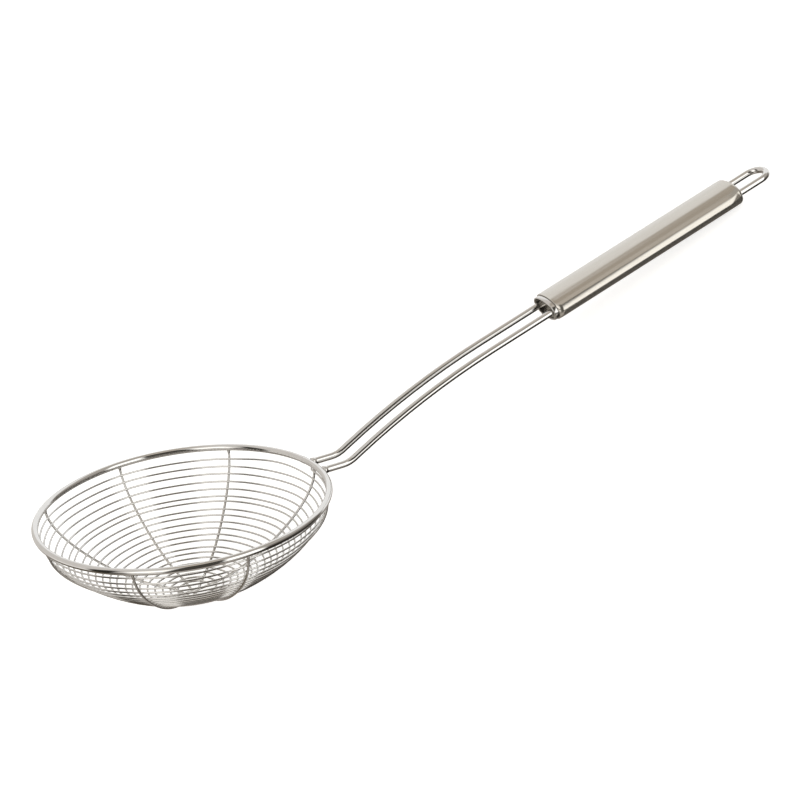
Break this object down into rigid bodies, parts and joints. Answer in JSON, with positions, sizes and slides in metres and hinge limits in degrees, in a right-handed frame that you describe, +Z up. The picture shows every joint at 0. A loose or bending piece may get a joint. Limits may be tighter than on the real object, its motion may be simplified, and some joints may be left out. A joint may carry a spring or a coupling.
{
  "type": "spiral wire skimmer",
  "caption": "Kitchen skimmer with a shallow spiral-wire bowl on crossing ribs, a wire shank, an oval steel tube handle and a wire hanging loop.",
  "frame": {"origin": "on the table, under the middle of the box that the skimmer fills as it lies on its bowl and the rear end of its handle", "axes": "+X from the bowl towards the hanging loop, +Y to the left of the handle seen from the bowl's side looking along +X, +Z up from the table"},
  "size_m": [0.4032, 0.14, 0.0727],
  "materials": {
    "polished_wire": "polished stainless steel wire",
    "satin_tube": "satin stainless steel, fine grain along the tube",
    "polished_cap": "polished stainless steel sheet"
  },
  "bodies": {
    "root": {"rim_hoop": "polished_wire", "rib_1": "polished_wire", "rib_2": "polished_wire", "rib_3": "polished_wire", "rib_4": "polished_wire", "spiral_wire": "polished_wire", "handle_wire": "polished_wire", "handle_tube": "satin_tube", "front_cap": "polished_cap", "rear_cap": "polished_cap"}
  },
  "joints": []
}
